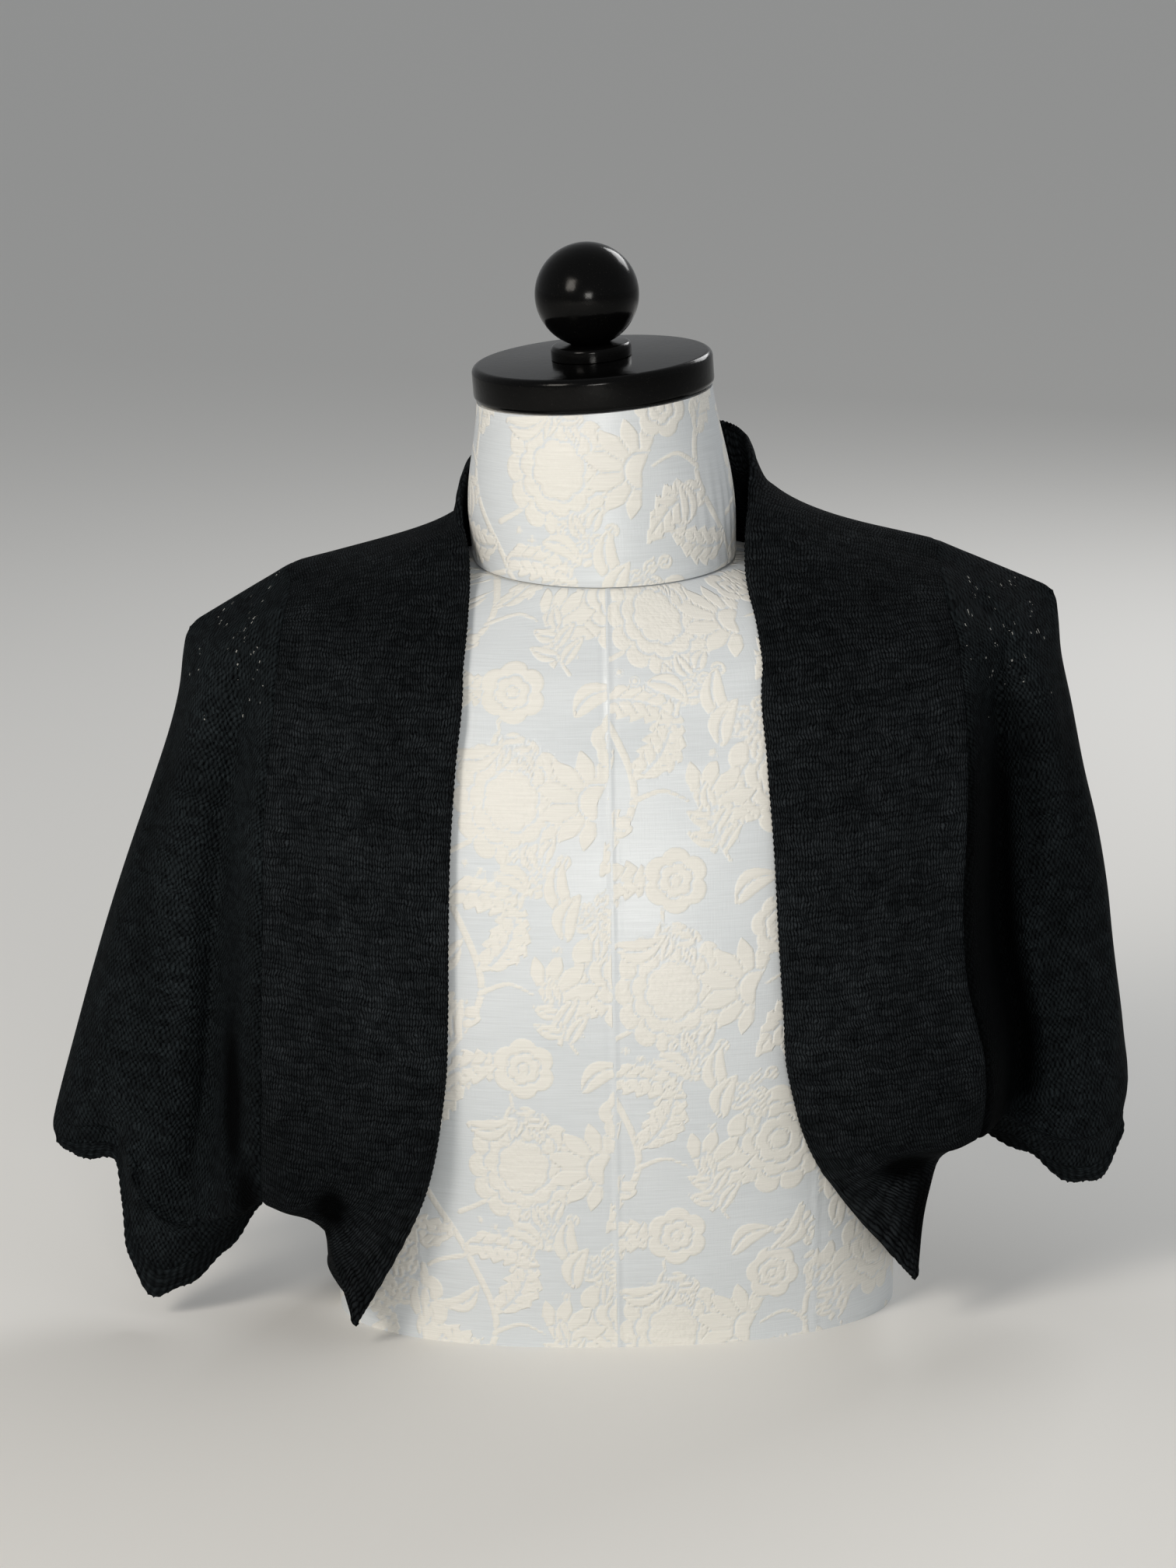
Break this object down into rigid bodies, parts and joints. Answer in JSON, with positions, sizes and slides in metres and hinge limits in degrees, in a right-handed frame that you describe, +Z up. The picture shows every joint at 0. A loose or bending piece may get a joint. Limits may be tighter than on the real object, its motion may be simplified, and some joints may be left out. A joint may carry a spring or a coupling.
{
  "type": "knitted shrug on a dress form",
  "caption": "Open-front black knitted shrug with short draped sleeves and a wide band round the opening, worn by a limbless waist-length dress form with a turned cap and ball.",
  "frame": {"origin": "middle of the dress form's flat bottom, on the surface that it stands on", "axes": "+Z up; the garment's front faces -Y; the wearer's right is at -X"},
  "size_m": [0.537, 0.2252, 0.5241],
  "materials": {
    "plain_knit": "matt slub knit, plain side out",
    "purl_knit": "matt knit, purl side out",
    "rib_knit": "matt one-by-one rib",
    "damask_cover": "woven damask, satin ground with matt motifs",
    "lacquered_wood": "gloss black lacquer"
  },
  "bodies": {
    "root": {"form_torso": "damask_cover", "form_neck": "damask_cover", "neck_cap": "lacquered_wood", "finial": "lacquered_wood", "front_band_right": "plain_knit", "lower_back_band": "plain_knit", "front_band_left": "plain_knit", "collar": "plain_knit", "sleeve_right": "purl_knit", "sleeve_left": "purl_knit", "cuff_right": "rib_knit", "cuff_left": "rib_knit", "back": "purl_knit"}
  },
  "joints": []
}
